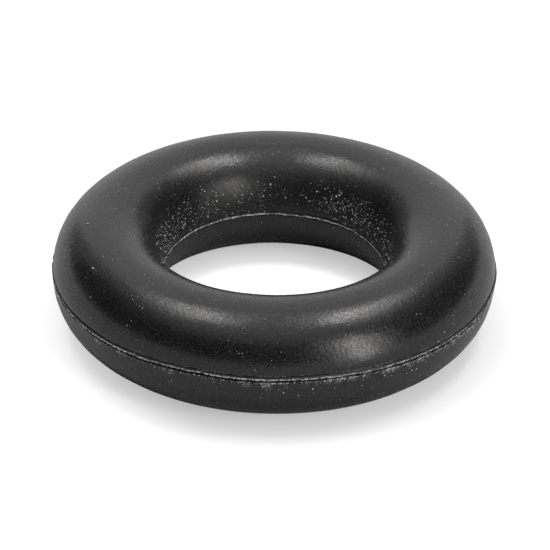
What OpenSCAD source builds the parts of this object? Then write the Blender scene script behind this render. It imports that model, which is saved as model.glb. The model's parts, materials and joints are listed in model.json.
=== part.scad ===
// A thick rubber sealing ring, moulded in one piece between two mould halves.
// The origin is the ring's centre, midway between its upper and lower crowns. +Z is the ring's axis.
// Sizes are in millimetres.
//
// The section is not quite a circle. Each mould half forms a half round, and the halves did not close
// fully, so a low straight band lies between them. The flash stands on that band: a thin rib of rubber
// that was squeezed out between the halves and then torn off. A small tear groove runs along its root above
// and below. The ring lies slightly rolled about its own section, as thick rubber rings do, so the flash
// outside has come up a little, and the flash in the hole has stayed near the middle.

/* [Ring] */
// Inside diameter, across the hole on the straight band
inside_d = 20; // [8:0.5:60]
// Width of the rubber section, from the hole to the outside
section_w = 10; // [3:0.25:16]
// Height of the straight band that the gap between the mould halves left
band_h = 0.56; // [0.2:0.02:1.2]

/* [Flash] */
// Thickness of the flash rib
flash_t = 0.24; // [0.1:0.02:0.5]
// How far the torn flash still stands out from the outside of the ring
flash_out = 0.12; // [0.06:0.02:0.4]
// How far the trimmed flash still stands into the hole
flash_in = 0.08; // [0.06:0.02:0.3]
// Height of the outside flash above the middle of the ring
flash_out_z = 0.4; // [-0.4:0.05:0.4]
// Height of the flash in the hole above the middle of the ring
flash_in_z = 0; // [-0.4:0.05:0.4]

/* [Tear grooves] */
// Radius of the half-round grooves beside the flash
groove_r = 0.09; // [0.04:0.01:0.2]

/* [Hidden] */

// Radius of the half round that each mould half forms
section_r = section_w / 2;
// Radius of the centre line of the section
ring_r = inside_d / 2 + section_r;
// Radii of the straight band, outside and in the hole
outside_r = ring_r + section_r;
hole_r = ring_r - section_r;
// Radii of the flash's own edges, outside and in the hole
flash_outside_r = outside_r + flash_out;
flash_hole_r = hole_r - flash_in;
// Distance from the middle of the flash to the middle of each tear groove
groove_off = flash_t / 2 + groove_r;
// Facets of a full turn of the ring, of its section and of a groove
ring_facets = 180;
section_facets = 96;
groove_facets = 24;

// All modules up to section() draw the section, to the right of the axis: X is the radius and Y the height.

// The half round of one mould half. side is 1 for the upper half and -1 for the lower one.
module half_round(side) {
    translate([ring_r, side * band_h / 2])
        intersection() {
            circle(r = section_r, $fn = section_facets);
            translate([-section_r, side > 0 ? 0 : -section_r])
                square([section_w, section_r]);
        }
}

// The straight band between the two half rounds
module parting_band() {
    translate([hole_r, -band_h / 2])
        square([section_w, band_h]);
}

// One flash rib, from the centre line of the section out to its torn edge at radius edge_r
module flash_rib(edge_r, height) {
    translate([min(ring_r, edge_r), height - flash_t / 2])
        square([abs(edge_r - ring_r), flash_t]);
}

// The tear grooves above and below one flash, in the wall at radius wall_r
module tear_grooves(wall_r, height) {
    for (side = [-1, 1])
        translate([wall_r, height + side * groove_off])
            circle(r = groove_r, $fn = groove_facets);
}

// The whole moulded section, with its two flash ribs and the grooves beside them
module section() {
    difference() {
        union() {
            half_round(1);
            half_round(-1);
            parting_band();
            flash_rib(flash_outside_r, flash_out_z);
            flash_rib(flash_hole_r, flash_in_z);
        }
        tear_grooves(outside_r, flash_out_z);
        tear_grooves(hole_r, flash_in_z);
    }
}

module o_ring() {
    color("#303133")
        rotate_extrude($fn = ring_facets)
            section();
}

o_ring();
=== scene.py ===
# %% [markdown]
# # A thick rubber sealing ring
#
# The object is one moulded O-ring of black rubber. Its solid is already made and packed, with a round
# section, a low straight band where the mould halves met, and a rib of flash round the outside and the hole.
# This lesson gives it the look of the real ring: the torn edge of the flash, the grooves beside it, the bits
# of rubber and talc that cling to it, and the dull grainy black of the rubber itself.
#
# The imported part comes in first, as a frame that nothing in this file moves.

# %% Load the frame
import json
import math

import bpy
import numpy as np
from mathutils import Matrix, Vector


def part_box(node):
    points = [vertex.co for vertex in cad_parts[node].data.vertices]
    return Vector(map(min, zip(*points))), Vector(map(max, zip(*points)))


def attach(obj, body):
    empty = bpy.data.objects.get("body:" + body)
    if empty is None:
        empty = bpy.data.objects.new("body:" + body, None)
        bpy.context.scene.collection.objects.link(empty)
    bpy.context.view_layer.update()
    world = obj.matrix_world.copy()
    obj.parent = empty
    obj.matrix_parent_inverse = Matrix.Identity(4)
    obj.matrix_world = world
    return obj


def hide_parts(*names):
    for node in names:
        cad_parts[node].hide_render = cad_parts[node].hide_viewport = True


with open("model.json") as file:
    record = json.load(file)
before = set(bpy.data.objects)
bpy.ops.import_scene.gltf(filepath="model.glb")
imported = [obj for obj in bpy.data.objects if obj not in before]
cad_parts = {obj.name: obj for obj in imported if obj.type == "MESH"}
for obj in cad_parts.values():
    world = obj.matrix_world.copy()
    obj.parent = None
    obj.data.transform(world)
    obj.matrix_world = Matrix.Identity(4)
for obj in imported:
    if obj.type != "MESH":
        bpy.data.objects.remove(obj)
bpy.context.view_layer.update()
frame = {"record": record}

# %% [markdown]
# ## The sizes of the ring
#
# Every size below comes from the frame, so the surfaces made here lie exactly on the solid. The record's two
# seats give the radius, height and thickness of each flash rib, and the box gives the height of the crowns.
# How far each rib stands out of the rubber is the one thing that neither states, so it is a named value.
# The sums are done in millimetres, because the details are tenths of one, and meshes get metres at the end.

# %% Read the driving sizes
MM = 0.001
seats = {mount["name"]: mount for mount in frame["record"]["mounts"]}
lowest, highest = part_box("o_ring")

# How far the torn flash stands out of the outer wall, and the trimmed one out of the wall of the hole
FLASH_OUT = 0.12
FLASH_IN = 0.08

FLASH_HEIGHT = seats["outer_seat"]["dims"]["length_mm"]
OUTER_LINE = seats["outer_seat"]["pos_m"][2] / MM
HOLE_LINE = seats["inner_seat"]["pos_m"][2] / MM
OUTER_WALL = seats["outer_seat"]["dims"]["r_mm"] - FLASH_OUT
HOLE_WALL = seats["inner_seat"]["dims"]["r_mm"] + FLASH_IN
CROWN = highest.z / MM
RING_RADIUS = (OUTER_WALL + HOLE_WALL) / 2
SECTION_RADIUS = (OUTER_WALL - HOLE_WALL) / 2
BAND_HALF = CROWN - SECTION_RADIUS
HALF_ROUND = math.pi * SECTION_RADIUS
AROUND = 2 * HALF_ROUND + 4 * BAND_HALF
print(f"ring radius {RING_RADIUS:.2f}, section radius {SECTION_RADIUS:.2f}, band {2 * BAND_HALF:.2f} mm")

# %% [markdown]
# ## The section as a formula
#
# The section of this ring is two half rounds with a short straight band between them on each side. One
# number says where a point is on it: s, the distance in millimetres round the section. It starts in the
# middle of the outer band, goes up over the crown, down the wall of the hole and back underneath. A formula
# in s is better than a list of points, because rows can then be packed close together where there is detail.

# %% Section of the ring
def section(s):
    """Radius and height of the section at s, and its outward direction there as (outward, upward).

    The turn is the distance spent on the two half rounds so far, divided by their radius. The middle of
    the half round climbs along the outer band, drops along the band in the hole, and climbs back.
    """
    s = np.mod(s, AROUND)
    second = 3 * BAND_HALF + HALF_ROUND
    turn = np.clip(s - BAND_HALF, 0, HALF_ROUND) + np.clip(s - second, 0, HALF_ROUND)
    turn = turn / SECTION_RADIUS
    middle = np.minimum(s, BAND_HALF) - np.clip(s - BAND_HALF - HALF_ROUND, 0, 2 * BAND_HALF)
    middle = middle + np.maximum(s - second - HALF_ROUND, 0)
    outward, upward = np.cos(turn), np.sin(turn)
    return RING_RADIUS + SECTION_RADIUS * outward, middle + SECTION_RADIUS * upward, outward, upward


# Where the two flash lines lie on the section
OUTER_S = BAND_HALF + SECTION_RADIUS * math.asin((OUTER_LINE - BAND_HALF) / SECTION_RADIUS)
HOLE_S = AROUND / 2 - HOLE_LINE
print(f"the section is {AROUND:.2f} mm round, with flash at s = {OUTER_S:.2f} and {HOLE_S:.2f} mm")

# %% [markdown]
# ## Seeded unevenness
#
# Torn rubber is uneven, and it has to come out the same each time the script runs. So every random number
# here comes from a generator with a fixed seed. Two kinds are needed. A ripple runs along a line round the
# ring: it is noise with its short waves faded out. Dents spread over the whole skin: they are many cosine
# waves that run in all directions. Both fit a whole number of waves round the ring, so no seam shows.

# %% Ripples and dents
def ripple(columns, length, seed, rows=1, radius=OUTER_WALL):
    """Noise round the ring of spread 1, a row of values per line, whose waves are mostly over length mm.

    White noise is split into its waves, each wave is faded by a bell curve of its number round the ring,
    and the waves are added up again.
    """
    waves = np.fft.rfft(np.random.default_rng(seed).normal(size=(rows, columns)))
    number = np.arange(waves.shape[1])
    waves = waves * np.exp(-((number * length / (2 * math.pi * radius)) ** 2))
    made = np.fft.irfft(waves, columns)
    made = made - made.mean(1, keepdims=True)
    made = made / made.std(1, keepdims=True)
    return made[0] if rows == 1 else made


def dents(angle, s, length, seed, count=60):
    """Unevenness of spread 1 over the skin: count cosine waves of about the given length in mm, each with
    its own direction, start and whole numbers of waves round the ring and round the section."""
    rng = np.random.default_rng(seed)
    direction = rng.uniform(0, 2 * math.pi, count)
    lengths = length * rng.uniform(0.7, 1.5, count)
    start = rng.uniform(0, 2 * math.pi, count)
    round_ring = np.rint(2 * math.pi * RING_RADIUS / lengths * np.cos(direction))
    round_section = np.rint(AROUND / lengths * np.sin(direction))
    phase = round_ring[:, None, None] * angle + round_section[:, None, None] * s * 2 * math.pi / AROUND
    return np.cos(phase + start[:, None, None]).sum(0) / math.sqrt(count / 2)


def smooth_step(x, low, high):
    """0 below low, 1 above high, and the smooth curve 3t squared minus 2t cubed between them."""
    t = np.clip((x - low) / (high - low), 0, 1)
    return t * t * (3 - 2 * t)


def near_angle(angle, degrees, spread):
    """A bell curve of the angle round the ring, with its middle and spread in degrees."""
    apart = np.mod(angle - math.radians(degrees) + math.pi, 2 * math.pi) - math.pi
    return np.exp(-((apart / math.radians(spread)) ** 2))


print("one ripple, first values:", ripple(360, 3.0, 1)[:4].round(2))

# %% [markdown]
# ## How the flash line wanders
#
# The line where the mould halves met is not a true circle. The ring lies a little rolled about its own
# section, more at two opposite places than at the others, so the outer line rises and falls slowly twice
# round the ring. Small steps from the torn rubber come on top. Everything on the line follows this height.

# %% Height of the two flash lines
# How far the outer line rises above its mean in mm, and one of the two places where it is highest
ROLL_RISE = 0.12
ROLL_ANGLE = math.radians(87)
LINE_COLUMNS = 2800
OUTER_LINE_SEED, HOLE_LINE_SEED = 11, 21


def line_shift(angle, rise, seed):
    """How far in mm a flash line lies above its mean height at each angle: a slow wave twice round the
    ring, plus a long and a short seeded ripple, read off a fine circle by interpolation."""
    fine = np.arange(LINE_COLUMNS + 1) / LINE_COLUMNS * 2 * math.pi
    wave = rise * np.cos(2 * (fine - ROLL_ANGLE))
    small = 0.035 * ripple(LINE_COLUMNS, 9.0, seed) + 0.014 * ripple(LINE_COLUMNS, 1.4, seed + 1)
    total = wave + np.append(small, small[0])
    return np.interp(np.mod(angle, 2 * math.pi), fine, total)


quarters = np.radians([0, 90, 180, 270])
print("outer line, mm above its mean:", line_shift(quarters, ROLL_RISE, OUTER_LINE_SEED).round(3))

# %% [markdown]
# ## From a grid of points to a mesh
#
# Each surface of this ring is closed both ways: round the ring and round its section. So one helper makes
# them all. It takes radius and height as grids, with a row for each line round the ring, and joins every
# point to the next one in both directions, with the last row and column joined to the first.

# %% Mesh helpers
def new_piece(name, points, faces):
    """Puts points in mm and faces, each a list of corner numbers, into a new smooth mesh object in metres."""
    mesh = bpy.data.meshes.new(name)
    mesh.from_pydata((points * MM).tolist(), [], list(faces))
    mesh.shade_smooth()
    mesh.validate()
    piece = bpy.data.objects.new(name, mesh)
    bpy.context.scene.collection.objects.link(piece)
    return piece


def ring_piece(name, radius, height, angle):
    """A surface closed both ways. The rows of radius and height run outwards-up-inwards-down round the
    section and the columns run anticlockwise, so each face's corners turn anticlockwise seen from outside."""
    points = np.stack([radius * np.cos(angle), radius * np.sin(angle), height], -1)
    here = np.arange(radius.size).reshape(radius.shape)
    along = np.roll(here, -1, 1)
    over = np.roll(here, -1, 0)
    diagonal = np.roll(over, -1, 1)
    faces = np.stack([here, along, diagonal, over], -1).reshape(-1, 4).tolist()
    return new_piece(name, points.reshape(-1, 3), faces)


def add_values(piece, name, values):
    """Stores one number per point on the mesh, for a material to read by that name."""
    store = piece.data.attributes.new(name, "FLOAT", "POINT")
    store.data.foreach_set("value", np.asarray(values, np.float32).ravel())


def report(piece):
    """Prints how many points and triangles a piece has."""
    triangles = sum(len(face.vertices) - 2 for face in piece.data.polygons)
    print(f"{piece.name}: {len(piece.data.vertices)} points, {triangles} triangles")


# %% [markdown]
# ## The skin
#
# The skin is the whole outer surface of the rubber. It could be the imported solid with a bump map, but the
# tear grooves beside the flash are seen in profile and catch real shadow, so they are shaped. The grid has
# few rows over the crowns, where the section is plain, and many near the two lines. The rows near a line
# shift with it as it wanders. The skin is then pressed in along its own outward direction: by the grooves,
# and by shallow dents that keep the reflections from looking machined. Only the ragged edge below the gap
# stands out, by less than the flash does, so the skin stays inside the solid's box.

# %% Rows of the skin
SKIN_COLUMNS = 1240
SKIN_ROWS = 80


def packed_rows():
    """Values of s for the rows: equal shares of a density that is 1 everywhere and rises in a bell curve
    near each flash line."""
    fine = np.linspace(0, AROUND, 20001)
    from_outer = np.minimum(np.abs(fine - OUTER_S), AROUND - np.abs(fine - OUTER_S))
    from_hole = np.abs(fine - HOLE_S)
    density = 1 + 20 * np.exp(-((from_outer / 0.5) ** 4)) + 14 * np.exp(-((from_hole / 0.34) ** 4))
    share = np.append(0, np.cumsum((density[1:] + density[:-1]) / 2))
    share = share / share[-1]
    return np.interp(np.arange(SKIN_ROWS) / SKIN_ROWS, share, fine)


skin_s = packed_rows()
skin_angle = np.arange(SKIN_COLUMNS) / SKIN_COLUMNS * 2 * math.pi
print("closest rows:", np.diff(skin_s).min().round(3), "mm; widest:", np.diff(skin_s).max().round(3), "mm")

# %% Distances from the two flash lines
SHIFT_REACH = 2.5


def near_line(s, line_s):
    """Signed distance in mm from a flash line, the short way round the section."""
    return np.mod(s - line_s + AROUND / 2, AROUND) - AROUND / 2


outer_distance = near_line(skin_s, OUTER_S)[:, None] * np.ones(SKIN_COLUMNS)
hole_distance = near_line(skin_s, HOLE_S)[:, None] * np.ones(SKIN_COLUMNS)
outer_shift = line_shift(skin_angle, ROLL_RISE, OUTER_LINE_SEED)
hole_shift = line_shift(skin_angle, 0.0, HOLE_LINE_SEED)
s_grid = skin_s[:, None] + outer_shift * np.exp(-((outer_distance / SHIFT_REACH) ** 2))
s_grid = s_grid - hole_shift * np.exp(-((hole_distance / SHIFT_REACH) ** 2))

print("the rows shift by up to", np.abs(s_grid - skin_s[:, None]).max().round(3), "mm")

# %% Grooves, torn edge and dents of the skin
# Middle, half width and depth of each groove, in mm from the middle of its flash. The outer flash tore
# downwards, so the gap under it is wide and deep and has a ragged raised edge below it.
GAP_MIDDLE, GAP_HALF_WIDTH, GAP_DEPTH = -0.245, 0.088, 0.19
CREASE_MIDDLE, CREASE_HALF_WIDTH, CREASE_DEPTH = 0.15, 0.042, 0.08
EDGE_MIDDLE, EDGE_HALF_WIDTH, EDGE_HEIGHT = -0.41, 0.045, 0.035
# The two small grooves in the hole, each from the foot or the head of the trimmed flash
HOLE_DEPTH, OVER_HEAD, HEAD_HALF_WIDTH, UNDER_FOOT, FOOT_HALF_WIDTH = 0.05, 0.025, 0.05, 0.02, 0.04
DENT_LENGTH, DENT_DEPTH, LEAST_PRESS = 4.5, 0.005, 0.004
# The gap gapes most at one side of the ring and the crease at the opposite side
GAPING_ANGLE, GAPING = math.radians(-25), 0.46


def bell(distance, middle, half_width, power=2.6):
    """A flat-topped bell curve of the distance from its middle: 1 there and about a third at half_width."""
    return np.exp(-(np.abs((distance - middle) / half_width) ** power))


def uneven(least, most, amount, length, seed, radius=OUTER_WALL):
    """One number per column of the skin: 1 plus amount times a ripple, kept from least to most."""
    return np.clip(1 + amount * ripple(SKIN_COLUMNS, length, seed, radius=radius), least, most)


gaping = GAPING * np.cos(skin_angle - GAPING_ANGLE)
gap_depth = GAP_DEPTH * (1 + gaping) * uneven(0.6, 1.2, 0.15, 0.9, 31) * uneven(0.7, 1.2, 0.15, 6.0, 32)
gap_width = GAP_HALF_WIDTH * (1 + gaping) * uneven(0.75, 1.4, 0.16, 0.5, 33)
edge_height = EDGE_HEIGHT * np.clip(0.2 + 0.8 * ripple(SKIN_COLUMNS, 0.5, 36), 0, 1.6)
edge_place = EDGE_MIDDLE - 0.08 * gaping + 0.025 * ripple(SKIN_COLUMNS, 0.8, 37)
crease_depth = CREASE_DEPTH * (1 - gaping) * uneven(0.1, 1.8, 0.4, 1.0, 34)
hole_depth = HOLE_DEPTH * uneven(0.2, 1.6, 0.4, 0.7, 35, HOLE_WALL)
dented = np.maximum(0, 2 + dents(skin_angle[None, :], s_grid, DENT_LENGTH, 41))

pressed = gap_depth * bell(outer_distance, GAP_MIDDLE, gap_width)
pressed = pressed + crease_depth * bell(outer_distance, CREASE_MIDDLE, CREASE_HALF_WIDTH)
pressed = pressed - edge_height * bell(outer_distance, edge_place, EDGE_HALF_WIDTH, 2.0)
pressed = pressed + hole_depth * bell(hole_distance, FLASH_HEIGHT / 2 + OVER_HEAD, HEAD_HALF_WIDTH)
pressed = pressed + hole_depth * bell(hole_distance, -FLASH_HEIGHT / 2 - UNDER_FOOT, FOOT_HALF_WIDTH)
pressed = pressed + LEAST_PRESS + DENT_DEPTH * dented

# %% Make the skin
radius, height, outward, upward = section(s_grid)
skin = ring_piece("o_ring_skin", radius - pressed * outward, height - pressed * upward, skin_angle)
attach(skin, "root")
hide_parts("o_ring")
report(skin)

# %% Where the skin is torn and where it is dusty
# How far up the wall of the hole the talc lies thickest, and how far it spreads, in mm along the section
DUST_UP, DUST_SPREAD = SECTION_RADIUS * math.radians(18), SECTION_RADIUS * math.radians(20)
DUST_EVERYWHERE = 0.3
patches = np.clip(0.7 + 0.7 * ripple(SKIN_COLUMNS, 2.0, 42), 0.1, 1.4)
fringe = 0.10 * np.clip(1 + 0.8 * ripple(SKIN_COLUMNS, 0.9, 43), 0.3, 3)
torn_share = patches * bell(outer_distance, EDGE_MIDDLE - 0.02 - 0.5 * fringe, fringe, 2.0)
torn_share = torn_share + 0.35 * bell(outer_distance, CREASE_MIDDLE + 0.08, 0.06)
add_values(skin, "torn", np.clip(torn_share, 0, 1))
dust_share = bell(hole_distance, -DUST_UP, DUST_SPREAD, 2.0)
dust_share = dust_share * np.clip(0.8 + 0.25 * ripple(SKIN_COLUMNS, 4.0, 44, radius=HOLE_WALL), 0.2, 1.3)
add_values(skin, "dust", np.clip(DUST_EVERYWHERE + (1 - DUST_EVERYWHERE) * dust_share, 0, 1))

# %% [markdown]
# ## The flash
#
# Where the mould halves met, rubber squeezed out in a thin sheet and was torn off. What is left is a low
# ragged rib: a dusty land with a lip that overhangs the groove below it, nicked and broken in places. A
# plain strip would look like a gasket seam, so the rib is a profile of a dozen points carried round the
# ring, and each point moves in and out, up and down, by its own ripple. The trimmed flash in the hole is
# the same thing, finer and cleaner.

# %% Profile of a torn rib
# Each row is how far a point stands out, as a share of the rib's stand-out, and where it is in the rib's
# height, from -1 at its foot to 1 at its head. The first and last points are buried in the rubber.
RIB_POINTS = np.array([
    (-1.2, -0.55), (-0.5, -0.62), (0.2, -0.8), (0.7, -1.02), (0.95, -0.9), (1.0, -0.62), (0.92, -0.3),
    (0.82, 0.05), (0.66, 0.4), (0.48, 0.7), (0.25, 0.92), (-0.1, 1.0), (-1.2, 0.9),
])

# The lip is the pale dusty part of the rib. These are the profile's points where it starts, is full and ends,
# for the outer flash and for the one in the hole, and how pale it is there.
OUTER_LIP_POINTS, OUTER_LIP_PALE = (2, 3, 4.8, 6, 7.6), 0.85
HOLE_LIP_POINTS, HOLE_LIP_PALE = (2, 3, 5, 6.5, 8), 1.9
LIP_SHARE = (0, 1, 1, 0.45, 0)


def torn_rib(name, columns, wall, line_height, stand_out, inward, rise, seed, rough):
    """A rib round the ring on the wall of that radius, with its profile roughened by ripples.

    radius = wall plus or minus stand-out times (share times how much is left, plus roughness), and
    height = line height plus half the flash height times (place in the height, plus roughness).
    How much is left falls to a small part where the flash has broken away.
    """
    def along(length, step, lines=1):
        """A ripple along this rib, or one for each point of its profile."""
        return ripple(columns, length, seed + step, lines, wall)

    angle = np.arange(columns) / columns * 2 * math.pi
    rows = len(RIB_POINTS)
    share, place = RIB_POINTS[:, 0][:, None], RIB_POINTS[:, 1][:, None]
    whole = 0.72 + 0.16 * along(2.2, 0) + 0.1 * along(0.35, 1)
    broken = smooth_step(along(2.6, 2), 1.35, 1.75)
    left = np.clip(whole, 0.25, 0.93) * (1 - 0.8 * broken)
    shown = smooth_step(share, 0.0, 0.6)
    out = np.minimum(share * left + rough * 0.10 * shown * along(0.28, 3, rows), 0.96)
    foot = smooth_step(-place, 0.2, 0.9) * shown
    ragged = np.clip(0.18 * along(0.45, 4) + 0.15 * along(1.6, 5), -0.35, 0.5)
    up = place + rough * foot * ragged + rough * 0.06 * along(0.3, 6, rows)
    side = -1 if inward else 1
    radius = wall + side * stand_out * out
    shift = line_shift(angle, rise, HOLE_LINE_SEED if inward else OUTER_LINE_SEED)
    height = line_height + shift + FLASH_HEIGHT / 2 * up
    lip = np.interp(np.arange(rows), HOLE_LIP_POINTS if inward else OUTER_LIP_POINTS, LIP_SHARE)
    lip = lip * (HOLE_LIP_PALE if inward else OUTER_LIP_PALE)
    lip = lip[:, None] * (1 + 1.2 * near_angle(angle, 216, 48))
    if inward:
        radius, height, lip = radius[::-1], height[::-1], lip[::-1]
    made = ring_piece(name, radius, height, angle)
    add_values(made, "lip", lip)
    return made


# %% Make the two ribs
outer_flash = torn_rib("outer_flash", 2800, OUTER_WALL, OUTER_LINE, FLASH_OUT, False, ROLL_RISE, 51, 1.0)
hole_flash = torn_rib("hole_flash", 1500, HOLE_WALL, HOLE_LINE, FLASH_IN, True, 0.0, 71, 0.6)
for rib in (outer_flash, hole_flash):
    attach(rib, "root")
    report(rib)

# %% [markdown]
# ## Crumbs and talc
#
# Two kinds of tiny bits cling to the ring. Crumbs of torn, chalky rubber lie just below the outer flash,
# thick in some stretches and missing in others. Talc from the mould lies as fine grains, most of them on
# the upper wall of the hole where no finger has wiped it off. A white-dot pattern in the material would
# vanish at a low angle, so the larger grains are real: each is a chip of twenty faces, scaled, turned and
# pressed half into the skin. All chips of one kind are one mesh, made as one array.

# %% Chips scattered on the skin
def twenty_faces():
    """Corners and faces of a regular solid of twenty triangles and radius 1."""
    golden = (1 + math.sqrt(5)) / 2
    a, b = 1 / math.sqrt(1 + golden ** 2), golden / math.sqrt(1 + golden ** 2)
    corners = [(-a, b, 0), (a, b, 0), (-a, -b, 0), (a, -b, 0), (0, -a, b), (0, a, b),
               (0, -a, -b), (0, a, -b), (b, 0, -a), (b, 0, a), (-b, 0, -a), (-b, 0, a)]
    faces = [(0, 11, 5), (0, 5, 1), (0, 1, 7), (0, 7, 10), (0, 10, 11), (1, 5, 9), (5, 11, 4),
             (11, 10, 2), (10, 7, 6), (7, 1, 8), (3, 9, 4), (3, 4, 2), (3, 2, 6), (3, 6, 8),
             (3, 8, 9), (4, 9, 5), (2, 4, 11), (6, 2, 10), (8, 6, 7), (9, 8, 1)]
    return np.array(corners), np.array(faces)


def scatter(name, angle, s, size, sink, seed):
    """Chips of the given sizes in mm, each at its angle and s. A chip is the regular solid with its corners
    moved at random, flattened against the skin, turned about the skin's outward direction, and sunk by a
    share of its size. None may stand out of the height or the width of the solid."""
    rng = np.random.default_rng(seed)
    count = len(size)
    corners, faces = twenty_faces()
    shape = corners[None] * rng.uniform(0.65, 1.2, (count, 12, 1))
    shape = shape * np.stack([rng.uniform(0.7, 1.5, count), rng.uniform(0.6, 1.0, count),
                              rng.uniform(0.45, 0.8, count)], -1)[:, None, :]
    turn = rng.uniform(0, 2 * math.pi, count)
    radius, height, outward, upward = section(s)
    around = np.stack([-np.sin(angle), np.cos(angle), 0 * angle], -1)
    out = np.stack([outward * np.cos(angle), outward * np.sin(angle), upward], -1)
    across = np.cross(out, around)
    first = np.cos(turn)[:, None] * around + np.sin(turn)[:, None] * across
    second = np.cross(out, first)
    axes = np.stack([first, second, out], 1)
    radius = np.minimum(radius - sink * size * outward, OUTER_WALL + FLASH_OUT - 0.75 * size)
    height = np.clip(height - sink * size * upward, 0.6 * size - CROWN, CROWN - 0.6 * size)
    centre = np.stack([radius * np.cos(angle), radius * np.sin(angle), height], -1)
    points = centre[:, None, :] + np.einsum("nck,nkj->ncj", shape * size[:, None, None] / 2, axes)
    numbers = faces[None] + 12 * np.arange(count)[:, None, None]
    piece = new_piece(name, points.reshape(-1, 3), numbers.reshape(-1, 3).tolist())
    piece.data.shade_flat()
    return piece


# %% Talc grains
ALL_ROUND = np.linspace(0, 2 * math.pi, LINE_COLUMNS)


def thinned(angle, likely, seed):
    """Which of the angles to keep, when likely gives the chance to stay for each point of ALL_ROUND."""
    return np.random.default_rng(seed).uniform(size=len(angle)) < np.interp(angle, ALL_ROUND, likely)


# In the hole the talc lies in two drifts and thinly between them. Elsewhere it is finer and even. These are
# how many grains are tried in the hole and laid elsewhere, their middling sizes in mm, and how deep they sink
# as a share of their size: a little less than half, because half is what zero gives.
HOLE_TALC, OTHER_TALC = 5200, 3600
HOLE_GRAIN, OTHER_GRAIN, TALC_SINK = 0.049, 0.033, -0.05
rng = np.random.default_rng(101)
hole_angle = rng.uniform(0, 2 * math.pi, HOLE_TALC)
drifts = 0.3 + 0.18 * ripple(LINE_COLUMNS, 4.0, 102, radius=HOLE_WALL)
drifts = drifts + 0.45 * near_angle(ALL_ROUND, 47, 32) + 0.42 * near_angle(ALL_ROUND, 145, 24)
hole_angle = hole_angle[thinned(hole_angle, drifts, 104)]
hole_up = HOLE_S - SECTION_RADIUS * np.radians(np.abs(rng.normal(17, 10, len(hole_angle))) + 1.5)
hole_size = HOLE_GRAIN * np.exp(rng.normal(0, 0.52, len(hole_angle)))
hole_size = np.clip(hole_size * (1 + 0.18 * np.cos(hole_angle)), 0.024, 0.15)
other_angle = rng.uniform(0, 2 * math.pi, OTHER_TALC)
other_s = rng.uniform(0, AROUND, OTHER_TALC)
other_size = np.clip(OTHER_GRAIN * np.exp(rng.normal(0, 0.5, OTHER_TALC)), 0.02, 0.095)

# Single large grains: the angle round the ring and up the outside of the section, in degrees, and the size
SINGLES = np.array([(206, 55, 0.18), (183, 69, 0.22), (312, 42, 0.10), (319, 12, 0.09), (272, 31, 0.08),
                    (97, -172, 0.14), (96, 163, 0.15), (60, 158, 0.15), (107, 160, 0.14)])
single_s = BAND_HALF + SECTION_RADIUS * np.radians(np.mod(SINGLES[:, 1], 360))
single_s = single_s + np.where(SINGLES[:, 1] < 0, 2 * BAND_HALF, 0)

# Dust caught along fine scratches: the two ends of each, in the same angles, and how many grains
SCRATCHES = ((352, 132, 327, 101, 34), (324, 25, 322, 2, 14), (128, 158, 123, 160, 12),
             (60, 168, 53, 171, 14), (20, 60, 28, 95, 30), (170, 75, 158, 100, 26), (95, 20, 99, 45, 22))
share = [np.sort(rng.uniform(size=scratch[-1])) for scratch in SCRATCHES]
line_angle = np.concatenate([a + (c - a) * t for (a, _, c, _, _), t in zip(SCRATCHES, share)])
line_turn = np.concatenate([b + (d - b) * t for (_, b, _, d, _), t in zip(SCRATCHES, share)])
line_turn = line_turn + rng.normal(0, 0.35, len(line_turn))
line_s = BAND_HALF + SECTION_RADIUS * np.radians(line_turn)
line_size = rng.uniform(0.022, 0.05, len(line_s))
talc_angle = np.concatenate([hole_angle, other_angle, np.radians(SINGLES[:, 0]), np.radians(line_angle)])
talc_s = np.concatenate([hole_up, other_s, single_s, line_s])
talc_size = np.concatenate([hole_size, other_size, SINGLES[:, 2], line_size])
talc = scatter("talc", talc_angle, talc_s, talc_size, TALC_SINK, 103)

# %% Crumbs on and under the outer flash
# How many crumbs are tried, and how far those on the lip of the flash stand out of the wall, in mm
CRUMB_COUNT, LIP_STAND = 4200, 0.08
rng = np.random.default_rng(121)
crumb_angle = rng.uniform(0, 2 * math.pi, CRUMB_COUNT)
clumping = 0.42 + 0.35 * ripple(LINE_COLUMNS, 1.4, 122) + 0.1 * ripple(LINE_COLUMNS, 9.0, 125)
clumping = clumping + 0.5 * near_angle(ALL_ROUND, 303, 12) + 0.3 * near_angle(ALL_ROUND, 270, 14)
clumping = clumping + 0.3 * near_angle(ALL_ROUND, 225, 30)
crumb_angle = crumb_angle[thinned(crumb_angle, clumping, 124)]
count = len(crumb_angle)
on_lip = rng.uniform(size=count) < 0.34 + 0.4 * near_angle(crumb_angle, 216, 45)
on_edge = rng.uniform(size=count) < 0.75
below = np.where(on_lip, rng.normal(0.03, 0.04, count), 0.38 + rng.exponential(0.09, count))
below = np.where(on_lip | on_edge, below, 0.36 + rng.exponential(0.4, count))
crumb_s = OUTER_S + line_shift(crumb_angle, ROLL_RISE, OUTER_LINE_SEED) - below
crumb_size = 0.045 * np.exp(rng.normal(0, 0.5, count)) * (1 + 0.35 * near_angle(crumb_angle, 303, 24))
crumb_size = np.clip(crumb_size, 0.02, 0.14)
crumb_size = np.where(on_lip, np.minimum(crumb_size, 0.06), crumb_size)
crumb_sink = np.where(on_lip, -LIP_STAND / crumb_size, -0.1)
crumbs = scatter("crumbs", crumb_angle, crumb_s, crumb_size, crumb_sink, 123)

# %% [markdown]
# A few shreds of the flash did not fall off. Each is a thin strip that curled up as it tore, so it is made
# as an arc with a three-sided section, and every arc has its own size, turn and share of a full circle.

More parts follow.
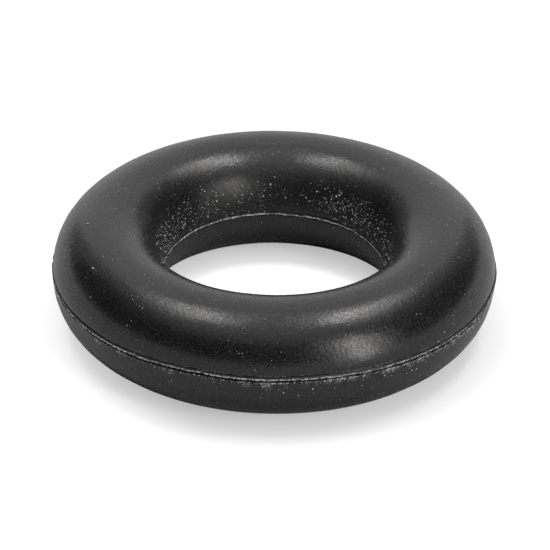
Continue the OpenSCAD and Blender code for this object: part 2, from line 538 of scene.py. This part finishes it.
# %% Curled shreds
def curls(name, angle, s, size, seed):
    """Arcs that lie on the skin at each angle and s, of the given radius in mm.

    A point is the centre plus radius times (cosine of the arc along the skin, sine of the arc across it and
    outwards), and the three corners of the section stand round it. The arc thins to a point at both ends.
    """
    rng = np.random.default_rng(seed)
    count, steps = len(size), 10
    arc = np.linspace(0, 1, steps)[None, :] * np.radians(rng.uniform(100, 290, count))[:, None]
    arc = arc + rng.uniform(0, 2 * math.pi, count)[:, None]
    radius, height, outward, upward = section(s)
    around = np.stack([-np.sin(angle), np.cos(angle), 0 * angle], -1)
    out = np.stack([outward * np.cos(angle), outward * np.sin(angle), upward], -1)
    lean = rng.uniform(0.3, 1.2, count)[:, None]
    rising = np.cos(lean) * np.cross(out, around) + np.sin(lean) * out
    beside = np.cross(around, rising)
    centre = np.stack([radius * np.cos(angle), radius * np.sin(angle), height], -1)
    centre = centre + 0.25 * size[:, None] * out
    spoke = np.cos(arc)[..., None] * around[:, None] + np.sin(arc)[..., None] * rising[:, None]
    thick = (0.16 * size)[:, None] * np.sin(np.linspace(0.15, math.pi - 0.15, steps)) ** 0.5
    corner = np.arange(3) / 3 * 2 * math.pi
    ring = np.cos(corner)[:, None] * spoke[:, :, None] + np.sin(corner)[:, None] * 2 * beside[:, None, None]
    points = centre[:, None, None] + size[:, None, None, None] * spoke[:, :, None]
    points = points + thick[..., None, None] * ring
    here = np.arange(steps * 3).reshape(steps, 3)
    beyond = np.roll(here, -1, 1)
    sides = np.stack([here[:-1], here[1:], beyond[1:], beyond[:-1]], -1).reshape(-1, 4)
    first_corner = steps * 3 * np.arange(count)[:, None, None]
    sides = (sides[None] + first_corner).reshape(-1, 4)
    ends = (np.array([here[0], here[-1, ::-1]])[None] + first_corner).reshape(-1, 3)
    return new_piece(name, points.reshape(-1, 3), sides.tolist() + ends.tolist())


# How many shreds there are, and how far below the middle of the flash the highest of them lie, in mm
CURL_COUNT, CURL_BELOW = 70, 0.40
rng = np.random.default_rng(131)
curl_angle = rng.uniform(0, 2 * math.pi, CURL_COUNT)
# Six of them are placed one by one, and the rest lie where the draw puts them
curl_angle[:6] = np.radians([308.6, 305, 287.5, 262, 244, 316])
curl_s = OUTER_S + line_shift(curl_angle, ROLL_RISE, OUTER_LINE_SEED)
curl_s = curl_s - CURL_BELOW - rng.exponential(0.06, CURL_COUNT)
curl_size = np.clip(0.05 * np.exp(rng.normal(0, 0.4, CURL_COUNT)), 0.025, 0.09)
curled = curls("curls", curl_angle, curl_s, curl_size, 132)
for bits in (talc, crumbs, curled):
    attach(bits, "root")
    report(bits)

# %% [markdown]
# ## Finishes
#
# The rubber is nearly black, and almost all that is seen of it is the dull reflection of the lamps. So the
# reflection matters more than the colour: it is broad, a little uneven, and broken up by a fine grain.
# All patterns are noise in the ring's own coordinates, in metres, so a scale of 5000 is a fifth of a
# millimetre. The helper below adds a node, sets its fields and plugs in its inputs in one call.

# %% Node helper
def add_node(tree, kind, inputs=None, **fields):
    """Adds a node of that kind, sets its fields, and sets or links its inputs by name or number."""
    made = tree.nodes.new(kind)
    for field, value in fields.items():
        setattr(made, field, value)
    for socket, value in (inputs or {}).items():
        if isinstance(value, bpy.types.NodeSocket):
            tree.links.new(value, made.inputs[socket])
        else:
            made.inputs[socket].default_value = value
    return made


def noise(tree, place, scale, detail=2.0, roughness=0.55):
    """Noise of about 1 / scale metres, and its value as a socket."""
    made = add_node(tree, "ShaderNodeTexNoise", {"Vector": place, "Scale": scale, "Detail": detail,
                                                 "Roughness": roughness})
    return made.outputs["Fac"]


def ramp(tree, value, low, high, low_to=0.0, high_to=1.0):
    """Carries value from low..high to low_to..high_to, in a straight line, and clamps it."""
    made = add_node(tree, "ShaderNodeMapRange", {"Value": value, "From Min": low, "From Max": high,
                                                 "To Min": low_to, "To Max": high_to})
    return made.outputs["Result"]


def blend(tree, share, first, second):
    """Mixes two colours, each a tuple or a socket, by share, which is a number or a socket."""
    made = add_node(tree, "ShaderNodeMix", {0: share, 6: first, 7: second}, data_type="RGBA")
    return made.outputs[2]


def new_material(name):
    """A new material with an empty tree: returns the material, its tree and the Object coordinates."""
    material = bpy.data.materials.new(name)
    material.use_nodes = True
    material.node_tree.nodes.clear()
    place = add_node(material.node_tree, "ShaderNodeTexCoord").outputs["Object"]
    return material, material.node_tree, place


def finish_with(tree, shader):
    """Plugs a shader's output into the material's surface."""
    add_node(tree, "ShaderNodeOutputMaterial", {"Surface": shader})


# %% [markdown]
# ## Black rubber
#
# Moulded rubber looks even from afar, and close up it is a grainy black with paler fillers in it, a dull
# bloom in clouds, and dust where it is never wiped. A plain black would look like wet plastic. So the colour
# is laid in layers, from the bloom to the crust of torn rubber, and each layer has its own noise or its own
# stored value as a mask. Two reliefs break up the reflections, a coarse one and a fine one on top, and
# the dusty wall of the hole is the dullest part.

# %% Rubber
def grey(level):
    """A neutral colour of that level."""
    return (level, level, level, 1)


# Fresh rubber, its dull bloom, the pale fillers in its grain, dust too fine to be a chip, and torn crust
BLACK = (0.0038, 0.004, 0.0046, 1)
BLOOM = (0.008, 0.008, 0.0083, 1)
SAND = (0.0325, 0.0328, 0.0338, 1)
FINE_DUST, CRUST, PALE_CRUST = grey(0.07), grey(0.08), grey(0.62)


def both(tree, first, second, operation="MULTIPLY"):
    """Joins two values, by multiplying them unless another operation is named."""
    return add_node(tree, "ShaderNodeMath", {0: first, 1: second}, operation=operation).outputs[0]


def bumped(tree, height, depth, under=None):
    """Tilts the surface by a value that stands for a relief of that depth in metres, over another relief
    where one is given."""
    inputs = {"Height": height, "Distance": depth, "Strength": 1.0}
    if under is not None:
        inputs["Normal"] = under
    return add_node(tree, "ShaderNodeBump", inputs).outputs["Normal"]


def glossy_finish(tree, colour, roughness, relief):
    """Finishes a material with a colour, a roughness and a relief."""
    shader = add_node(tree, "ShaderNodeBsdfPrincipled", {"Base Color": colour, "Roughness": roughness,
                                                         "Normal": relief})
    finish_with(tree, shader.outputs["BSDF"])


rubber, tree, place = new_material("black_rubber")
cloud = noise(tree, place, 260, 4.0)
mottle = noise(tree, place, 900, 3.0)
pebble = noise(tree, place, 3800, 1.0)
grain = noise(tree, place, 7500, 2.0, 0.6)
speck = noise(tree, place, 9000, 1.0)
dust = add_node(tree, "ShaderNodeAttribute", attribute_name="dust").outputs["Fac"]
torn_here = add_node(tree, "ShaderNodeAttribute", attribute_name="torn").outputs["Fac"]
base = blend(tree, ramp(tree, cloud, 0.35, 0.7), BLACK, BLOOM)
base = blend(tree, ramp(tree, grain, 0.48, 0.7), base, SAND)
base = blend(tree, both(tree, ramp(tree, speck, 0.63, 0.72), dust), base, FINE_DUST)
crust = both(tree, ramp(tree, mottle, 0.42, 0.56), torn_here)
base = blend(tree, crust, base, CRUST)
base = blend(tree, both(tree, ramp(tree, grain, 0.53, 0.6), crust), base, PALE_CRUST)
wear = noise(tree, place, 5500, 1.0)
gloss = both(tree, ramp(tree, wear, 0.3, 0.7, 0.2, 0.34), ramp(tree, dust, 0.3, 1.0, 0.0, 0.28), "ADD")
relief = bumped(tree, pebble, 0.000014, under=bumped(tree, mottle, 0.000025))
glossy_finish(tree, base, gloss, relief)
print("rubber nodes:", len(tree.nodes))

# %% [markdown]
# ## Torn rubber
#
# Rubber that was torn, not moulded, has a rough chalky face, so the lip of the flash shows as a broken pale
# line. Painting the whole rib pale would make a drawn line of it. So the pale colour is kept to the lip by
# the value stored there, and broken up twice, by a fine noise and by patches of a couple of millimetres.

# %% Torn rubber of the flash
torn, tree, place = new_material("torn_rubber")
lip = add_node(tree, "ShaderNodeAttribute", attribute_name="lip").outputs["Fac"]
chalk = noise(tree, place, 4600, 3.0, 0.65)
patch = noise(tree, place, 550, 2.0)
pale = both(tree, ramp(tree, chalk, 0.47, 0.53, 0.16, 1.0), lip)
pale = both(tree, pale, ramp(tree, patch, 0.36, 0.5, 0.5, 1.0))
base = blend(tree, pale, grey(0.012), grey(0.82))
glossy_finish(tree, base, 0.55, bumped(tree, chalk, 0.00003))

# %% [markdown]
# ## Talc and crumbs
#
# The grains are chips already, so their finish can be simple: a dull off-white that changes a little from
# grain to grain. The crumbs and shreds of torn rubber are dusted with the same talc, so they share it.

# %% Talc
chalky, tree, place = new_material("talc")
speck = noise(tree, place, 2500, 1.0)
base = blend(tree, ramp(tree, speck, 0.4, 0.6), grey(0.7), grey(0.94))
shader = add_node(tree, "ShaderNodeBsdfPrincipled", {"Base Color": base, "Roughness": 0.8})
finish_with(tree, shader.outputs["BSDF"])

finishes = ((rubber, (skin,)), (torn, (outer_flash, hole_flash)), (chalky, (talc, crumbs, curled)))
for material, pieces in finishes:
    for piece in pieces:
        piece.data.materials.clear()
        piece.data.materials.append(material)
    print(material.name, "covers", [piece.name for piece in pieces])

# %% [markdown]
# ## Floor
#
# The ring lies on a plain white floor. It could be one flat sheet, but a low camera would look over its edge
# into the dark. So it is a wide round dish, flat under the ring and rising gently more than a metre away.
# Close to the ring the lamps light it, so that it takes the ring's soft shadow, and for the camera alone
# painted light is laid over that shadow to make it paler. Further out it fades to an even white for the
# camera and for reflections, and that white lights nothing.

# %% Shape of the floor
FLOOR_HEIGHT = lowest.z / MM
# Radius of each ring of the dish and its height above the floor under the object, in mm
floor_radius = np.array([0, 40, 90, 160, 400, 900, 1800, 3000.0])[:, None]
floor_rise = np.array([0, 0, 0, 0, 0, 0, 45, 205.0])[:, None]
floor_angle = np.arange(96) / 96 * 2 * math.pi
points = np.stack([floor_radius * np.cos(floor_angle), floor_radius * np.sin(floor_angle),
                   FLOOR_HEIGHT + floor_rise + 0 * floor_angle], -1)
here = np.arange(points.shape[0] * points.shape[1]).reshape(points.shape[:2])
along = np.roll(here, -1, 1)
faces = np.stack([here[:-1], here[1:], along[1:], along[:-1]], -1).reshape(-1, 4).tolist()
floor = new_piece("floor", points.reshape(-1, 3), faces)
report(floor)

# %% Finish of the floor
# Lengths here are in metres from the ring's axis. Between the two FADE radii the lit floor turns even white.
# Nearer in, the camera alone sees painted light: white laid over the lit floor, so that the shadow is as pale
# as on paper. This painted light is LIFT_IN_HOLE in the middle and LEFT_LIFT more at the left of the ring,
# where the shadow is painted paler, and each step changes it by its last number between its first two.
FLOOR_COLOUR, WHITE = (0.592, 0.599, 0.613, 1), grey(1.0)
FADE_START, FADE_END = 0.5, 1.0
LIFT_IN_HOLE, LEFT_LIFT = 0.67, 0.17
LEFT_OUTER, LEFT_INNER = -0.019, -0.007
LIFT_STEPS = ((0.0083, 0.0101, 0.21), (0.0102, 0.0117, -0.3), (0.0122, 0.015, -0.15), (0.0175, 0.0235, 0.12))

white, tree, place = new_material("floor")
white.cycles.emission_sampling = "NONE"
path = add_node(tree, "ShaderNodeLightPath").outputs
seen = both(tree, path["Is Camera Ray"], path["Is Glossy Ray"], "MAXIMUM")
seen = both(tree, seen, path["Is Transmission Ray"], "MAXIMUM")
from_middle = add_node(tree, "ShaderNodeVectorMath", {0: place}, operation="LENGTH").outputs["Value"]
share = both(tree, ramp(tree, from_middle, FADE_START, FADE_END), seen)
sideways = add_node(tree, "ShaderNodeSeparateXYZ", {0: place}).outputs["X"]
# Painted light over the shadow: how much white the camera sees laid on the floor, more at the left and by
# radius
painted_shadow_lift = ramp(tree, sideways, LEFT_OUTER, LEFT_INNER, LEFT_LIFT + LIFT_IN_HOLE, LIFT_IN_HOLE)
for start, end, rise in LIFT_STEPS:
    painted_shadow_lift = both(tree, painted_shadow_lift, ramp(tree, from_middle, start, end, 0.0, rise), "ADD")
painted_shadow_lift = both(tree, painted_shadow_lift, path["Is Camera Ray"])
lit = add_node(tree, "ShaderNodeBsdfDiffuse", {"Color": FLOOR_COLOUR}).outputs[0]
# The painted light itself, which only the camera sees and which lights nothing
painted_lift = add_node(tree, "ShaderNodeEmission", {"Color": WHITE, "Strength": painted_shadow_lift}).outputs[0]
even = add_node(tree, "ShaderNodeEmission", {"Color": WHITE, "Strength": 1.0}).outputs[0]
lifted = add_node(tree, "ShaderNodeAddShader", {0: lit, 1: painted_lift}).outputs[0]
mixed = add_node(tree, "ShaderNodeMixShader", {0: share, 1: lifted, 2: even}).outputs[0]
finish_with(tree, mixed)
floor.data.materials.append(white)
print("floor nodes:", len(tree.nodes))

# %% [markdown]
# ## Lamps
#
# On black rubber the lamps are seen as shapes, so their places and sizes matter as much as their power. Two
# narrow soft boxes hang over the ring, left and right, and draw the two pale streaks on the far crown and the
# two on the near one. A wider, dimmer box outside each makes their outer ends fade. A tall strip at the
# front right, laid over a wider soft panel, makes the glow low on the right of the near side. Three panels
# that overlap behind the ring light the crowns, and fade in steps, as one large lit cloth would. The rest of
# the room is a faint glow from above. The lamps are wide enough for the shadow to be soft.

# %% Lamps
WARM = (1.0, 0.96, 0.925)
COOL = (0.98, 0.984, 1.0)
DOWN, UP, AWAY = (0, 0, -1), (0, 0, 1), (0, 1, 0)


def placed(place, side, top, back):
    """The matrix of something at a place, whose own x, y and z axes point along side, top and back."""
    return Matrix.Translation(place) @ Matrix((side, top, back)).transposed().to_4x4()


def lamp(name, place, facing, long_way, width, length, power, colour):
    """A soft rectangular lamp at a place in metres that shines along facing, with its length along long_way
    as nearly as that can be done square to facing."""
    away = -Vector(facing).normalized()
    along = Vector(long_way)
    along = (along - along.dot(away) * away).normalized()
    light = bpy.data.lights.new(name, "AREA")
    light.shape = "RECTANGLE"
    light.size, light.size_y = width, length
    light.energy, light.color = power, colour
    made = bpy.data.objects.new(name, light)
    made.matrix_world = placed(place, along.cross(away), along, away)
    made.visible_camera = False
    bpy.context.scene.collection.objects.link(made)


def panel(name, azimuth, elevation, distance, width, length, power, colour):
    """A lamp that faces the ring from an azimuth, anticlockwise from +X, and an elevation, in degrees."""
    a, e = math.radians(azimuth), math.radians(elevation)
    place = Vector((math.cos(a) * math.cos(e), math.sin(a) * math.cos(e), math.sin(e))) * distance
    lamp(name, place, -place, UP, width, length, power, colour)


# Each lamp has its place, its facing, the direction of its length, its width and length in metres, its watts
lamp("overhead_left", (-0.23, 0.13, 0.8), DOWN, (0.1, 1, 0), 0.1, 0.38, 1.15, WARM)
lamp("overhead_right", (0.24, 0.13, 0.8), DOWN, AWAY, 0.08, 0.36, 1.3, WARM)
lamp("overhead_left_soft", (-0.37, 0.16, 0.8), DOWN, AWAY, 0.2, 0.48, 0.62, WARM)
lamp("overhead_right_soft", (0.37, 0.2, 0.8), DOWN, AWAY, 0.2, 0.56, 1.05, WARM)
# Each panel has its azimuth, elevation and distance, its width and length in metres and its watts
panel("front_strip", -46, 22, 1.0, 0.17, 0.78, 3.4, WARM)
panel("front_soft", -46, 20, 1.0, 0.6, 0.6, 1.5, WARM)
panel("behind", 92, 28, 1.2, 1.3, 1.0, 1.8, COOL)
panel("behind_wide", 92, 31, 1.2, 2.2, 1.2, 2.3, COOL)
panel("behind_tall", 92, 40, 1.2, 1.3, 1.6, 1.1, COOL)
watts = sum(light.energy for light in bpy.data.lights)
print("lamps:", len(bpy.data.lights), "with", round(watts, 2), "watts")

# %% Glow from above
# The upward part of a direction at which the glow starts, and its strength straight overhead
GLOW_START, GLOW_STRENGTH = 0.55, 0.86

world = bpy.data.worlds.new("studio")
world.use_nodes = True
world.node_tree.nodes.clear()
tree = world.node_tree
direction = add_node(tree, "ShaderNodeTexCoord").outputs["Generated"]
upward_part = add_node(tree, "ShaderNodeSeparateXYZ", {0: direction}).outputs["Z"]
above = add_node(tree, "ShaderNodeMapRange", {"Value": upward_part, "From Min": GLOW_START, "From Max": 1.0,
                                              "To Min": 0.0, "To Max": GLOW_STRENGTH},
                 interpolation_type="SMOOTHSTEP")
sky = add_node(tree, "ShaderNodeBackground", {"Color": (*COOL, 1), "Strength": above.outputs["Result"]})
add_node(tree, "ShaderNodeOutputWorld", {"Surface": sky.outputs[0]})
bpy.context.scene.world = world
print("world nodes:", len(tree.nodes))

# %% [markdown]
# ## Camera
#
# The camera looks down on the ring from about thirty degrees, with a long lens from less than half a metre
# away, so the far side is drawn only a little smaller than the near one. It stands straight in front of the
# ring, its aim is a hair off the ring's middle, and it is rolled by less than a degree. Those small turns
# could be left out, but a ring is so plain that a tilt of one pixel shows. The lens is given as its focal
# length in pixels of a square frame, and Blender takes it in millimetres, for a sensor 36 mm wide.

# %% Camera
CAMERA_DISTANCE = 0.43302
CAMERA_ELEVATION = math.radians(30.324)
AIM_SIDE, AIM_UP = math.radians(0.0109), math.radians(-0.0827)
CAMERA_ROLL = math.radians(0.639)
FOCAL_PIXELS = 4789.25
FRAME_PIXELS = 550
SENSOR_WIDTH = 36

camera_place = Vector((0, -math.cos(CAMERA_ELEVATION), math.sin(CAMERA_ELEVATION))) * CAMERA_DISTANCE
ahead = -camera_place.normalized()
right = Vector((1, 0, 0))
over = right.cross(ahead)
ahead = (ahead + math.tan(AIM_SIDE) * right + math.tan(AIM_UP) * over).normalized()
level = ahead.cross(Vector((0, 0, 1))).normalized()
upright = level.cross(ahead)
side = math.cos(CAMERA_ROLL) * level + math.sin(CAMERA_ROLL) * upright
top = math.cos(CAMERA_ROLL) * upright - math.sin(CAMERA_ROLL) * level
camera_data = bpy.data.cameras.new("camera")
camera_data.sensor_width = SENSOR_WIDTH
camera_data.lens = SENSOR_WIDTH * FOCAL_PIXELS / FRAME_PIXELS
camera_data.clip_start, camera_data.clip_end = 0.01, 20
camera = bpy.data.objects.new("camera", camera_data)
camera.matrix_world = placed(camera_place, side, top, -ahead)
bpy.context.scene.collection.objects.link(camera)
bpy.context.scene.camera = camera
bpy.context.scene.view_settings.view_transform = "Standard"
print(f"lens {camera_data.lens:.0f} mm, {CAMERA_DISTANCE:.3f} m from the middle of the ring")
